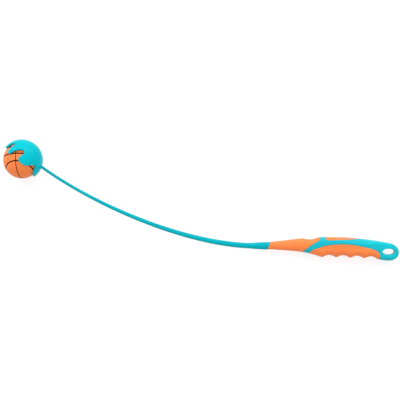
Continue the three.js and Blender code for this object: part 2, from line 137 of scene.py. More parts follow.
def seenOrLit(tree, seen, lit):
    # one strength for what the camera, gloss and glass see, another for what lights the thrower
    rays = tree.nodes.new("ShaderNodeLightPath").outputs
    shown = calc(tree, "MAXIMUM", rays["Is Camera Ray"], rays["Is Glossy Ray"])
    shown = calc(tree, "MAXIMUM", shown, rays["Is Transmission Ray"])
    return calc(tree, "MULTIPLY_ADD", shown, seen - lit, lit)


def addPanel(name, place, aim, width, depth, power, spread):
    lamp = bpy.data.lights.new(name, "AREA")
    lamp.shape = "RECTANGLE"
    lamp.size, lamp.size_y = width, depth
    lamp.energy = power
    lamp.spread = math.radians(spread)
    panel = newObject(name, lamp)
    place, aim = restPlace @ Vector(place), restPlace @ Vector(aim)
    away = (place - aim).normalized()
    along = (restTurn @ Vector((1, 0, 0))).normalized()
    along = (along - along.dot(away) * away).normalized()
    turn = Matrix((along, away.cross(along), away)).transposed().to_4x4()
    panel.matrix_world = Matrix.Translation(place) @ turn


def addStudio():
    world = bpy.data.worlds.new("studio")
    bpy.context.scene.world = world
    world.use_nodes = True
    tree = world.node_tree
    sky = tree.nodes["Background"].inputs
    sky["Color"].default_value = (1, 1, 1, 1)
    strength = seenOrLit(tree, studio["background"], studio["worldLight"])
    tree.links.new(strength, sky["Strength"])

    half = studio["floorSize"] / 2
    mesh = bpy.data.meshes.new("floor")
    low = studio["floorHeight"]
    corners = [(-half, -half, low), (half, -half, low), (half, half, low), (-half, half, low)]
    mesh.from_pydata(corners, [], [(0, 1, 2, 3)])
    floor = newObject("floor", mesh)
    material = bpy.data.materials.new("palePaper")
    material.use_nodes = True
    tree = material.node_tree
    paper = tree.nodes["Principled BSDF"].inputs
    paper["Base Color"].default_value = (*[studio["floorGrey"]] * 3, 1)
    paper["Roughness"].default_value = studio["floorRoughness"]
    paper["Specular IOR Level"].default_value = 0.0
    paper["Emission Color"].default_value = (1, 1, 1, 1)
    strength = seenOrLit(tree, studio["floorLift"], studio["floorGlow"])
    tree.links.new(strength, paper["Emission Strength"])
    mesh.materials.append(material)
    addSun("keyLight", studio["keyFrom"], studio["keyStrength"], studio["keySoftness"])
    for name, panel in studio["panels"].items():
        addPanel(name, *panel)


addCamera()
addStudio()
bpy.context.scene.view_settings.view_transform = "Standard"
print("camera, floor and light ready")


# Finishes.
looks = {
    "cupPlastic": {"base": "#00c2cf", "deep": "#00bcc9", "roughness": 0.26, "specular": 0.05,
                   "sheen": 0.0, "grain": 0.5, "relief": 0.06},
    "armPlastic": {"base": "#00b0bd", "deep": "#00a4b1", "roughness": 0.3, "specular": 0.07,
                   "sheen": 0.0, "grain": 0.5, "relief": 0.06},
    "handlePlastic": {"base": "#00b5c2", "deep": "#00aebb", "roughness": 0.3, "specular": 0.18,
                      "sheen": 0.0, "grain": 0.5, "relief": 0.06},
    "softGrip": {"base": "#fe8640", "deep": "#fa7d38", "roughness": 0.5, "specular": 0.35,
                 "sheen": 0.1, "grain": 0.35, "relief": 0.45},
    "ballRubber": {"base": "#ff8c44", "deep": "#ff8039", "roughness": 0.5, "specular": 0.08,
                   "sheen": 0.0, "grain": 0.3, "relief": 0.25},
}
# what all finishes share: how the gloss pattern swings the roughness, the sheen's width, and
# the strength and depth in metres of the relief
finishBase = {
    "roughnessSwing": 0.3, "roughnessDrop": 0.07, "sheenRoughness": 0.45,
    "bumpStrength": 0.5, "bumpDistance": 0.0002,
}
# the ball's painted seams, and the soft gloss and pebbles of the rubber between them
seamLook = {
    "colour": "#4a1e04", "halfWidth": 1.1, "soft": 0.2, "gloss": 0.6, "glossRoughness": 0.5,
    "pebbleSize": 1.05, "pebbleRelief": 1.6,
    # a pebble slopes down from its top to its foot, at these shares of its size from its middle
    "pebbleTop": 0.15, "pebbleFoot": 0.6, "pebbleBlend": 0.35,
}


def fineGrainGroup():
    tree, given, result = newGroup(
        "fineGrain", "ShaderNodeTree",
        [("Grain mm", "NodeSocketFloat", 0.4), ("Patch mm", "NodeSocketFloat", 24.0)],
        [(name, "NodeSocketFloat") for name in ("Height", "Patches", "Gloss")])
    place = tree.nodes.new("ShaderNodeTexCoord").outputs["Object"]
    grainScale = calc(tree, "DIVIDE", 1000.0, given["Grain mm"])
    patchScale = calc(tree, "DIVIDE", 1000.0, given["Patch mm"])
    grain = wire(tree, "ShaderNodeTexNoise", {"Vector": place, "Scale": grainScale, "Detail": 3.0})
    patches = wire(tree, "ShaderNodeTexNoise", {
        "Vector": place, "Scale": patchScale, "Detail": 2.0})
    tree.links.new(grain.outputs["Fac"], result["Height"])
    tree.links.new(patches.outputs["Fac"], result["Patches"])
    gloss = calc(tree, "MULTIPLY", patches.outputs["Fac"], grain.outputs["Fac"])
    tree.links.new(gloss, result["Gloss"])
    return tree


def pebbleGroup():
    tree, given, result = newGroup(
        "pebbles", "ShaderNodeTree", [("Pebble mm", "NodeSocketFloat", 1.2)],
        [("Height", "NodeSocketFloat")])
    place = tree.nodes.new("ShaderNodeTexCoord").outputs["Object"]
    scale = calc(tree, "DIVIDE", 1000.0, given["Pebble mm"])
    cells = wire(tree, "ShaderNodeTexVoronoi", {
        "Vector": place, "Scale": scale, "Smoothness": seamLook["pebbleBlend"]},
        feature="SMOOTH_F1")
    height = mapped(tree, cells.outputs["Distance"], seamLook["pebbleTop"], seamLook["pebbleFoot"],
                    1.0, 0.0)
    tree.links.new(height, result["Height"])
    return tree


fineGrain = fineGrainGroup()
pebbles = pebbleGroup()


def makeFinish(name, seamed=False):
    look = looks[name]
    material = bpy.data.materials.new(name)
    material.use_nodes = True
    tree = material.node_tree
    shader = tree.nodes["Principled BSDF"].inputs
    grain = wire(tree, "ShaderNodeGroup", {}, node_tree=fineGrain)
    grain.inputs["Grain mm"].default_value = look["grain"]
    toned = wire(tree, "ShaderNodeMix", {"Factor": grain.outputs["Patches"]}, data_type="RGBA")
    toned.inputs["A"].default_value = colour(look["deep"])
    toned.inputs["B"].default_value = colour(look["base"])
    shade = toned.outputs["Result"]
    height = calc(tree, "MULTIPLY", grain.outputs["Height"], look["relief"])
    rough = calc(tree, "MULTIPLY_ADD", grain.outputs["Gloss"], finishBase["roughnessSwing"],
                 look["roughness"] - finishBase["roughnessDrop"])
    if seamed:
        distance = wire(tree, "ShaderNodeAttribute", attribute_name="seamDistance").outputs["Fac"]
        clear = mapped(tree, distance, seamLook["halfWidth"] - seamLook["soft"],
                       seamLook["halfWidth"] + seamLook["soft"])
        seam = wire(tree, "ShaderNodeMix", {"Factor": clear}, data_type="RGBA")
        seam.inputs["A"].default_value = colour(seamLook["colour"])
        tree.links.new(shade, seam.inputs["B"])
        shade = seam.outputs["Result"]
        bumps = wire(tree, "ShaderNodeGroup", {}, node_tree=pebbles)
        bumps.inputs["Pebble mm"].default_value = seamLook["pebbleSize"]
        raised = calc(tree, "MULTIPLY", bumps.outputs["Height"], clear)
        height = calc(tree, "MULTIPLY_ADD", raised, seamLook["pebbleRelief"], height)
        tree.links.new(calc(tree, "MULTIPLY", clear, seamLook["gloss"]), shader["Coat Weight"])
        shader["Coat Roughness"].default_value = seamLook["glossRoughness"]
    bump = wire(tree, "ShaderNodeBump", {
        "Height": height, "Strength": finishBase["bumpStrength"],
        "Distance": finishBase["bumpDistance"]})
    shader["Specular IOR Level"].default_value = look["specular"]
    shader["Sheen Weight"].default_value = look["sheen"]
    shader["Sheen Roughness"].default_value = finishBase["sheenRoughness"]
    tree.links.new(shade, shader["Base Color"])
    tree.links.new(rough, shader["Roughness"])
    tree.links.new(bump.outputs["Normal"], shader["Normal"])
    return material


finishes = {name: makeFinish(name, name == "ballRubber") for name in looks}
print("finishes ready:", ", ".join(finishes))


# Pieces.
def shadeSmooth(mesh, sharpAngle):
    mesh.shade_smooth()
    mesh.set_sharp_from_angle(angle=math.radians(sharpAngle))


def addPiece(mesh, name, body, slot, *nodes):
    piece = newObject(name, mesh)
    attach(piece, body)
    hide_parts(*nodes)
    print("made", name, len(mesh.polygons), "faces")
    return piece


def endTree(tree, geometry, finish, result):
    real = wire(tree, "GeometryNodeRealizeInstances", {"Geometry": geometry})
    painted = wire(tree, "GeometryNodeSetMaterial", {
        "Geometry": real.outputs[0], "Material": finish})
    tree.links.new(painted.outputs[0], result["Mesh"])
    return tree


def evaluated(source, tree, values):
    # the plain mesh that a Geometry Nodes tree makes of the source
    modifier = source.modifiers.new("shape", "NODES")
    modifier.node_group = tree
    sockets = {item.name: item.identifier for item in tree.interface.items_tree
               if item.item_type == "SOCKET" and item.in_out == "INPUT"}
    for name, value in values.items():
        modifier[sockets[name]] = value
    bpy.context.scene.collection.objects.link(source)
    graph = bpy.context.evaluated_depsgraph_get()
    mesh = bpy.data.meshes.new_from_object(source.evaluated_get(graph))
    bpy.data.objects.remove(source)
    return mesh


# Arm: a rod swept along its bow, with the pin that goes into the cup and the tang and
# flange that go into the handle.
armSizes = {
    "rootX": 31.92, "rootY": -11.115, "rootSlope": -35.8, "rootRadius": 2.3, "rootDepth": 1.2,
    "reach": 380.0, "drop": 139.6, "neckLength": 21.7, "neckRadius": 4.8,
    "swellLength": 30.0, "shoulderRadius": 6.2, "shoulderLean": 24.0,
    "rootShare": 0.315, "levelShare": 0.279,
    # the pin goes straight through the cup's wall, from its inner end on
    "pinRadius": 1.62, "pinAngle": -19.2, "pinInnerEnd": 30.74, "pinLength": 4.0,
    "tangRadius": 4.5, "tangLength": 75.96, "flangeRadius": 6.2, "flangeThickness": 3.0,
    "flangeInset": 10.0, "sides": 40, "bowPoints": 260, "bowResolution": 64, "sharpAngle": 40,
}
drop = armSizes["drop"]
shoulderX = armSizes["reach"] + armSizes["neckLength"]


def wayAt(degrees):
    # a direction in the middle plane, turned up from the handle's side by this angle
    angle = math.radians(degrees)
    return math.cos(angle), math.sin(angle), 0.0


def positionParts(tree):
    place = tree.nodes.new("GeometryNodeInputPosition").outputs[0]
    return wire(tree, "ShaderNodeSeparateXYZ", {0: place}).outputs


def roundBar(tree, sides, radius, length, middle, turn):
    bar = wire(tree, "GeometryNodeMeshCylinder", {
        "Vertices": sides, "Radius": radius, "Depth": length})
    return wire(tree, "GeometryNodeTransform", {
        "Geometry": bar.outputs["Mesh"], "Translation": middle, "Rotation": turn}).outputs[0]


def armTree():
    sizes = ["Root radius", "Neck radius", "Shoulder radius", "Root X", "Shoulder X",
             "Swell length", "Shoulder lean", "Drop", "Pin radius", "Pin length", "Tang radius",
             "Tang length", "Flange radius", "Flange thickness", "Flange inset"]
    tree, given, result = newGroup(
        "taperedArm", "GeometryNodeTree",
        [("Bow", "NodeSocketGeometry", None), ("Finish", "NodeSocketMaterial", None),
         ("Pin middle", "NodeSocketVector", None), ("Pin turn", "NodeSocketVector", None),
         ("Sides", "NodeSocketInt", 40), ("Bow points", "NodeSocketInt", 260)]
        + [(name, "NodeSocketFloat", 1.0) for name in sizes],
        [("Mesh", "NodeSocketGeometry")])
    spaced = wire(tree, "GeometryNodeResampleCurve", {
        "Curve": given["Bow"], "Count": given["Bow points"]})
    x = positionParts(tree)["X"]
    taper = mapped(tree, x, given["Root X"], given["Shoulder X"],
                   given["Root radius"], given["Neck radius"], "LINEAR")
    swellStart = calc(tree, "SUBTRACT", given["Shoulder X"], given["Swell length"])
    swell = mapped(tree, x, swellStart, given["Shoulder X"], 0.0, math.pi / 2, "LINEAR")
    radius = wire(tree, "ShaderNodeMix", {
        "Factor": calc(tree, "SINE", swell), "A": taper, "B": given["Shoulder radius"]})
    section = wire(tree, "GeometryNodeCurvePrimitiveCircle", {
        "Resolution": given["Sides"], "Radius": 1.0})
    swept = wire(tree, "GeometryNodeCurveToMesh", {
        "Curve": spaced.outputs[0], "Profile Curve": section.outputs["Curve"],
        "Scale": radius.outputs["Result"], "Fill Caps": True})
    # the last stretch, as long as the shoulder is thick, leans over into the slanted shoulder
    at = positionParts(tree)
    stretch = calc(tree, "MULTIPLY", given["Shoulder radius"], 2.0)
    leanStart = calc(tree, "SUBTRACT", given["Shoulder X"], stretch)
    share = mapped(tree, at["X"], leanStart, given["Shoulder X"])
    height = calc(tree, "ADD", at["Y"], given["Drop"])
    slide = calc(tree, "MULTIPLY", height, calc(tree, "TANGENT", given["Shoulder lean"]))
    slide = wire(tree, "ShaderNodeCombineXYZ", {"X": calc(tree, "MULTIPLY", slide, share)})
    leaned = wire(tree, "GeometryNodeSetPosition", {
        "Geometry": swept.outputs[0], "Offset": slide.outputs[0]})
    # pin, tang and flange
    low = calc(tree, "MULTIPLY", given["Drop"], -1.0)
    level = (0.0, math.pi / 2, 0.0)
    tangX = calc(tree, "MULTIPLY_ADD", given["Tang length"], 0.5, given["Shoulder X"])
    flangeX = calc(tree, "MULTIPLY_ADD", given["Flange thickness"], 0.5, given["Shoulder X"])
    toFlange = calc(tree, "SUBTRACT", given["Tang length"], given["Flange inset"])
    flangeX = calc(tree, "ADD", flangeX, toFlange)
    tangMiddle = wire(tree, "ShaderNodeCombineXYZ", {"X": tangX, "Y": low}).outputs[0]
    flangeMiddle = wire(tree, "ShaderNodeCombineXYZ", {"X": flangeX, "Y": low}).outputs[0]
    joined = wire(tree, "GeometryNodeJoinGeometry")
    for radiusName, lengthName, middle, turn in (
            ("Pin radius", "Pin length", given["Pin middle"], given["Pin turn"]),
            ("Tang radius", "Tang length", tangMiddle, level),
            ("Flange radius", "Flange thickness", flangeMiddle, level)):
        bar = roundBar(tree, given["Sides"], given[radiusName], given[lengthName], middle, turn)
        tree.links.new(bar, joined.inputs[0])
    tree.links.new(leaned.outputs[0], joined.inputs[0])
    return endTree(tree, joined.outputs[0], given["Finish"], result)


def addArm():
    s = armSizes
    out, pinWay = Vector(wayAt(s["rootSlope"])), Vector(wayAt(s["pinAngle"]))
    root = Vector((s["rootX"], s["rootY"], 0))
    bend = Vector((s["reach"], -drop, 0))
    shoulder = Vector((shoulderX, -drop, 0))
    span = (bend - root).length
    start = root - out * s["rootDepth"]
    line = bpy.data.curves.new("armBow", "CURVE")
    line.dimensions = "3D"
    spline = line.splines.new("BEZIER")
    spline.bezier_points.add(3)
    spline.resolution_u = s["bowResolution"]
    step, third = out * s["rootDepth"] / 3, (shoulder - bend) / 3
    knots = [(start, start - step, start + step),
             (root, root - step, root + out * span * s["rootShare"]),
             (bend, bend - Vector((span * s["levelShare"], 0, 0)), bend + third),
             (shoulder, shoulder - third, shoulder + third)]
    for point, (middle, before, after) in zip(spline.bezier_points, knots):
        point.co, point.handle_left, point.handle_right = middle, before, after
    mesh = evaluated(bpy.data.objects.new("armBow", line), armTree(), {
        "Finish": finishes["armPlastic"], "Sides": s["sides"], "Bow points": s["bowPoints"],
        "Root radius": s["rootRadius"], "Neck radius": s["neckRadius"],
        "Shoulder radius": s["shoulderRadius"], "Root X": s["rootX"], "Shoulder X": shoulderX,
        "Swell length": s["swellLength"], "Shoulder lean": math.radians(s["shoulderLean"]),
        "Drop": drop, "Pin radius": s["pinRadius"], "Pin length": s["pinLength"],
        "Pin middle": pinWay * (s["pinInnerEnd"] + s["pinLength"] / 2),
        "Pin turn": pinWay.to_track_quat("Z", "Y").to_euler(),
        "Tang radius": s["tangRadius"], "Tang length": s["tangLength"],
        "Flange radius": s["flangeRadius"], "Flange thickness": s["flangeThickness"],
        "Flange inset": s["flangeInset"]})
    mesh.transform(restPlace)
    shadeSmooth(mesh, s["sharpAngle"])
    addPiece(mesh, "arm_rod", "thrower", "turquoise_plastic", "arm")


addArm()


# Ball: one half about its own pole, made twice.
ballSizes = {
    "radius": 30.0, "wall": 5.0, "segments": 96, "cutSlack": 0.001, "halfGap": 0.12,
    "seamHalfWidth": 1.15, "seamDepth": 0.8, "seamFloor": 0.25, "poleSeamThinness": 1.6,
    "ovalAngle": 58.4, "ovalSwing": 8.4, "turn": (-19.1, -8.7, -1.5),
}


def ballTree():
    sizes = ["Radius", "Seam half width", "Seam depth", "Seam floor", "Half gap", "Oval angle",
             "Oval swing", "Pole seam thinness"]
    tree, given, result = newGroup(
        "seamedHalfBall", "GeometryNodeTree",
        [("Mesh", "NodeSocketGeometry", None), ("Finish", "NodeSocketMaterial", None),
         ("Segments", "NodeSocketInt", 96)]
        + [(name, "NodeSocketFloat", 1.0) for name in sizes],
        [("Mesh", "NodeSocketGeometry")])
    sides = calc(tree, "ADD", given["Segments"], 1.0)
    block = wire(tree, "GeometryNodeMeshCube", {
        "Size": (2.0, 2.0, 2.0), "Vertices X": sides, "Vertices Y": sides, "Vertices Z": sides})
    # the slack keeps the faces that start at the parting plane
    below = wire(tree, "FunctionNodeCompare", {
        "A": positionParts(tree)["Y"], "B": -ballSizes["cutSlack"]},
        data_type="FLOAT", operation="LESS_THAN")
    upper = wire(tree, "GeometryNodeDeleteGeometry", {
        "Geometry": block.outputs["Mesh"], "Selection": below.outputs[0]}, domain="FACE")
    # even out the cube's grid as it swells into a ball
    place = tree.nodes.new("GeometryNodeInputPosition").outputs[0]
    angle = wire(tree, "ShaderNodeVectorMath", {0: place, 1: (math.pi / 4,) * 3},
                 operation="MULTIPLY")
    eased = wire(tree, "ShaderNodeVectorMath", {0: angle.outputs[0]}, operation="TANGENT")
    ballUnit = wire(tree, "ShaderNodeVectorMath", {0: eased.outputs[0]}, operation="NORMALIZE")
    unit = wire(tree, "GeometryNodeSetPosition", {
        "Geometry": upper.outputs[0], "Position": ballUnit.outputs[0]})
    # distance to the nearest seam: the parting edge, the circle over the pole, the oval
    here = tree.nodes.new("GeometryNodeInputPosition").outputs[0]
    p = wire(tree, "ShaderNodeSeparateXYZ", {0: here}).outputs
    parting = calc(tree, "ARCSINE", p["Y"])
    overPole = calc(tree, "ABSOLUTE", calc(tree, "ARCSINE", p["X"]))
    overPole = calc(tree, "MULTIPLY", overPole, given["Pole seam thinness"])
    polar = calc(tree, "ARCCOSINE", p["Y"])
    turn = calc(tree, "ARCTAN2", p["X"], p["Z"])
    wave = calc(tree, "COSINE", calc(tree, "MULTIPLY", turn, 2.0))
    oval = calc(tree, "MULTIPLY_ADD", wave, given["Oval swing"], given["Oval angle"])
    fromOval = calc(tree, "ABSOLUTE", calc(tree, "SUBTRACT", polar, oval))
    nearest = calc(tree, "MINIMUM", calc(tree, "MINIMUM", parting, overPole), fromOval)
    distance = calc(tree, "MULTIPLY", nearest, given["Radius"])
    marked = wire(tree, "GeometryNodeStoreNamedAttribute", {
        "Geometry": unit.outputs[0], "Name": "seamDistance", "Value": distance},
        data_type="FLOAT", domain="POINT")
    floorWidth = calc(tree, "MULTIPLY", given["Seam half width"], given["Seam floor"])
    sunk = mapped(tree, distance, floorWidth, given["Seam half width"], given["Seam depth"], 0.0)
    radius = calc(tree, "SUBTRACT", given["Radius"], sunk)
    out = wire(tree, "ShaderNodeVectorMath", {0: here, "Scale": radius}, operation="SCALE")
    parts = wire(tree, "ShaderNodeSeparateXYZ", {0: out.outputs[0]}).outputs
    high = calc(tree, "MAXIMUM", parts["Y"], given["Half gap"])
    target = wire(tree, "ShaderNodeCombineXYZ", {"X": parts["X"], "Y": high, "Z": parts["Z"]})
    swollen = wire(tree, "GeometryNodeSetPosition", {
        "Geometry": marked.outputs[0], "Position": target.outputs[0]})
    return endTree(tree, swollen.outputs[0], given["Finish"], result)


def addBall():
    s = ballSizes
    source = bpy.data.objects.new("ballHalf", bpy.data.meshes.new("ballHalf"))
    half = evaluated(source, ballTree(), {
        "Finish": finishes["ballRubber"], "Radius": s["radius"],
        "Seam half width": s["seamHalfWidth"], "Seam depth": s["seamDepth"],
        "Seam floor": s["seamFloor"], "Half gap": s["halfGap"],
        "Oval angle": math.radians(s["ovalAngle"]), "Oval swing": math.radians(s["ovalSwing"]),
        "Pole seam thinness": s["poleSeamThinness"], "Segments": s["segments"]})
    turned = restPlace.copy()
    for angle, axis in zip(s["turn"], "XYZ"):
        turned = turned @ Matrix.Rotation(math.radians(angle), 4, axis)
    for name, node, flip in (("ball_half_up", "ball_upper_half", 0),
                             ("ball_half_down", "ball_lower_half", math.pi)):
        mesh = half.copy()
        mesh.transform(turned @ Matrix.Rotation(flip, 4, "Z"))
        mesh.shade_smooth()
        piece = addPiece(mesh, name, "ball", "ball_rubber", node)
        wall = piece.modifiers.new("wall", "SOLIDIFY")
        wall.thickness = s["wall"] / 1000
        wall.offset = -1


addBall()


# Shaped walls: a loop is filled on a flat chart, laid on a curved surface, given a
# thickness, and rounded down beside its edges.
wallBuild = {
    # rows of points follow the edge at these depths, with an even grid inside them; a point
    # that lies nearer to the edge than its share of the depth or the spacing is left out
    "rowDepths": (0.12, 0.3, 0.55, 0.85), "rowClear": 0.9, "gridClear": 1.15,
    "edgeShares": (0, 0.25, 0.5, 0.75),  # where each step of the edge is measured
    "fillTolerance": 1e-5, "mergeDistance": 0.002, "lipSpacing": 0.2, "holeTouch": 0.001,
    "weldMetres": 1e-6, "sharpAngle": 50,
}
tiny = 1e-12  # keeps a divisor off zero


def unitRows(rows):
    return rows / np.linalg.norm(rows, axis=-1, keepdims=True)


def leftNormals(steps):
    way = unitRows(steps)
    return np.stack([-way[:, 1], way[:, 0]], axis=1)


def stepShares(count):
    return np.linspace(0, 1, count + 1)[:-1, None]


def ovalLine(middle, axes, count):
    around = np.linspace(0, 2 * math.pi, count + 1)
    return middle + axes * np.stack([np.cos(around), np.sin(around)], axis=1)


def treeOf(points):
    tree = KDTree(len(points))
    for i, point in enumerate(points):
        tree.insert((*point, 0)[:3], i)
    tree.balance()
    return tree


def respaced(rows, spacing):
    steps = np.linalg.norm(np.diff(rows, axis=0), axis=1)
    along = np.concatenate([[0], np.cumsum(steps)])
    at = np.linspace(0, along[-1], max(2, int(round(along[-1] / spacing))) + 1)
    return np.stack([np.interp(at, along, column) for column in rows.T], axis=1)


def insideLoop(points, loop):
    x, y = points[:, 0], points[:, 1]
    found = np.zeros(len(points), bool)
    for (x0, y0), (x1, y1) in zip(loop, np.roll(loop, -1, axis=0)):
        crosses = (y0 > y) != (y1 > y)
        with np.errstate(divide="ignore", invalid="ignore"):
            found ^= crosses & (x < (x1 - x0) * (y - y0) / (y1 - y0) + x0)
    return found


def between(points, loop, holes):
    good = insideLoop(points, loop)
    for hole in holes:
        good &= ~insideLoop(points, hole)
    return good


def chartTriangles(loop, holes, spacing):
    # fills a loop on the chart with even triangles and finer rows beside its edge
    s = wallBuild
    outlines = [loop, *holes]
    low, high = loop.min(0), loop.max(0)
    rowStep = spacing * math.sqrt(3) / 2
    grid = [(x + (row % 2) * spacing / 2, y)
            for row, y in enumerate(np.arange(low[1], high[1] + rowStep, rowStep))
            for x in np.arange(low[0], high[0] + spacing, spacing)]
    candidates = [(np.array(grid), spacing * s["gridClear"])]
    for depth in s["rowDepths"]:
        for outline in outlines:
            fine = np.stack([outline, (outline + np.roll(outline, -1, 0)) / 2], axis=1)
            fine = fine.reshape(-1, 2)
            aside = leftNormals(np.roll(fine, -1, 0) - np.roll(fine, 1, 0) + tiny)
            for way in (1, -1):
                candidates.append((fine + way * aside * depth, depth * s["rowClear"]))
    edgeTree = treeOf([a + (b - a) * share for outline in outlines
                       for a, b in zip(outline, np.roll(outline, -1, axis=0))
                       for share in s["edgeShares"]])
    free = [point for points, clear in candidates
            for point in points[between(points, loop, holes)]
            if edgeTree.find((*point, 0))[2] > clear]
    edges, first = [], 0
    for outline in outlines:
        size = len(outline)
        edges += [(first + k, first + (k + 1) % size) for k in range(size)]
        first += size
    points = [Vector(p) for p in np.vstack(outlines + [np.array(free)])]
    verts, _, faces, *_ = delaunay_2d_cdt(points, edges, [], 1, s["fillTolerance"])
    verts, faces = np.array([tuple(v) for v in verts]), np.array(faces)
    return verts, faces[between(verts[faces].mean(axis=1), loop, holes)]


def filledIn(rows, spacing):
    # the same rows with points added between them
    pieces = []
    for a, b in zip(rows, rows[1:]):
        count = max(1, math.ceil(np.linalg.norm(b - a) / spacing))
        pieces.append(a + (b - a) * stepShares(count))
    return np.vstack(pieces + [rows[-1:]])


def gapTo(points, line):
    # distance from each point to a line in space
    tree = treeOf(line)
    nearest = np.array([tree.find(point)[1] for point in points])
    gaps = []
    for first in (nearest - 1, nearest):
        first = np.clip(first, 0, len(line) - 2)
        start, step = line[first], line[first + 1] - line[first]
        share = ((points - start) * step).sum(1) / np.maximum((step**2).sum(1), tiny)
        gaps.append(np.linalg.norm(points - start - np.clip(share, 0, 1)[:, None] * step, axis=1))
    return np.minimum(*gaps)


def mergedFaces(flat, faces):
    # points that fall together on the surface become one
    flatTree = treeOf(flat)
    merged = [min(i for _, i, _ in flatTree.find_range(point, wallBuild["mergeDistance"]))
              for point in flat]
    faces = [tuple(dict.fromkeys(merged[v] for v in face)) for face in faces.tolist()]
    return [face for face in faces if len(face) == 3]


def lipDepth(flat, surface, lips):
    # how far each point sinks beside the edges, in a quarter round
    sunk = np.zeros(len(flat))
    for rows, reach, depth in lips:
        edge = filledIn(rows, wallBuild["lipSpacing"])
        share = np.clip(1 - gapTo(flat, surface(edge, np.zeros(len(edge)))) / reach, 0, 1)
        sunk = np.maximum(sunk, depth * (1 - np.sqrt(1 - share**2)))
    return sunk


def lippedSolid(surface, loop, holes, wall, spacing, lips, bothSides=False, lineHole=None):
    chart, faces = chartTriangles(loop, holes, spacing)
    flat = surface(chart, np.zeros(len(chart)))
    faces = mergedFaces(flat, faces)
    sunk = lipDepth(flat, surface, lips)
    outer = surface(chart, sunk)
    inner = surface(chart, wall - sunk if bothSides else np.full(len(flat), wall))
    count = len(flat)
    points = [outer, inner]
    edges = {(a, b) for face in faces for a, b in zip(face, face[1:] + face[:1])}
    openEdges = [(a, b) for a, b in edges if (b, a) not in edges]
    across = {a: [a, a + count] for edge in openEdges for a in edge}
    if lineHole:
        # the hole's wall goes through points of its own
        holeTree = treeOf(holes[0])
        nextPoint = 2 * count
        for v in across:
            if holeTree.find((*chart[v], 0))[2] < wallBuild["holeTouch"]:
                lining = lineHole(outer[v])
                across[v] = [v, *range(nextPoint, nextPoint + len(lining)), v + count]
                points.append(lining)
                nextPoint += len(lining)
    sides = [(b0, a0, a1, b1) for a, b in openEdges
             for a0, a1, b0, b1 in zip(across[a], across[a][1:], across[b], across[b][1:])]
    faces = faces + [tuple(v + count for v in reversed(face)) for face in faces] + sides
    return np.vstack(points), faces


def meshFrom(name, points, faces, finish):
    mesh = bpy.data.meshes.new(name)
    mesh.from_pydata(points.tolist(), [], faces)
    mesh.transform(restPlace)
    work = bmesh.new()
    work.from_mesh(mesh)
    bmesh.ops.remove_doubles(work, verts=work.verts, dist=wallBuild["weldMetres"])
    bmesh.ops.delete(work, geom=[v for v in work.verts if not v.link_faces], context="VERTS")
    bmesh.ops.recalc_face_normals(work, faces=work.faces)
    work.to_mesh(mesh)
    work.free()
    shadeSmooth(mesh, wallBuild["sharpAngle"])
    mesh.materials.append(finishes[finish])
    return mesh


# Cup: a spherical wall inside a smooth rim curve, with its whole edge rounded over.
cupSizes = {
    "innerRadius": 30.7, "wall": 3.1, "rimRound": 1.0, "axisAngle": 43.6, "spacing": 1.0,
    "pinHoleRadius": 1.75, "pinHoleSteps": 40, "rimSteps": 24,
    # from the top finger round one side to the bottom finger: degrees round the cup's axis,
    # degrees from the back of the cup
    "rim": [
        (0, 98.4), (13, 98.2), (22.5, 97.2), (27.8, 93.5), (29.7, 86), (31.3, 77), (34.6, 70.6),
        (40.2, 67.8), (44.6, 70.6), (46.5, 77.5), (46.9, 87), (47.8, 94), (51, 98.4),
        (56.8, 99.6), (60.8, 97.4), (62, 90.4), (64.4, 81.6), (68.4, 73.8), (73.4, 67.4),
        (79, 63.4), (84.8, 62.7), (88.4, 65), (89.2, 69.5), (88.4, 75), (87.6, 81), (88.6, 87.2),
        (92, 91), (96.5, 92.4), (101, 92.6), (106, 92.2), (111.6, 90.8), (117.6, 88),
        (122.6, 83.4), (127.2, 78.6), (132.8, 74.4), (138.7, 71.6), (143.2, 71.2), (146.2, 74.4),
        (149, 80.6), (152.2, 85.6), (156.2, 89.4), (162.5, 94.2), (171, 97.2), (180, 97.8),
    ],
}
cupAxis = np.array(wayAt(cupSizes["axisAngle"]))
cupUp = np.array([-cupAxis[1], cupAxis[0], 0.0])
cupOuterRadius = cupSizes["innerRadius"] + cupSizes["wall"]


def cupDirections(turn, polar):
    turn, polar = turn[:, None], polar[:, None]
    across = np.array([0.0, 0.0, 1.0])
    outward = np.cos(turn) * cupUp + np.sin(turn) * across
    return np.cos(polar) * cupAxis + np.sin(polar) * outward


def cupChart(directions):
    polar = np.arccos(np.clip(directions @ cupAxis, -1, 1)) * cupOuterRadius
    turn = np.arctan2(directions[:, 2], directions @ cupUp)
    return np.stack([polar * np.cos(turn), polar * np.sin(turn)], axis=1)


def cupSurface(chart, sunk):
    polar = np.hypot(chart[:, 0], chart[:, 1]) / cupOuterRadius
    turn = np.arctan2(chart[:, 1], chart[:, 0])
    return cupDirections(turn, polar) * (cupOuterRadius - sunk)[:, None]


def closedCurve(knots, spacing):
    # a smooth closed curve through the knots, then evenly spaced points on it
    fine = []
    for i in range(len(knots)):
        p0, p1, p2, p3 = (knots[(i + k) % len(knots)] for k in (-1, 0, 1, 2))
        d0, d1, d2 = (np.linalg.norm(b - a) ** 0.5 for a, b in ((p0, p1), (p1, p2), (p2, p3)))
        m1 = ((p1 - p0) / d0 - (p2 - p0) / (d0 + d1) + (p2 - p1) / d1) * d1
        m2 = ((p2 - p1) / d1 - (p3 - p1) / (d1 + d2) + (p3 - p2) / d2) * d1
        t = stepShares(cupSizes["rimSteps"])
        fine.append(p1 + m1 * t + (3 * p2 - 3 * p1 - 2 * m1 - m2) * t**2
                    + (2 * p1 - 2 * p2 + m1 + m2) * t**3)
    return respaced(np.vstack(fine + [fine[0][:1]]), spacing)


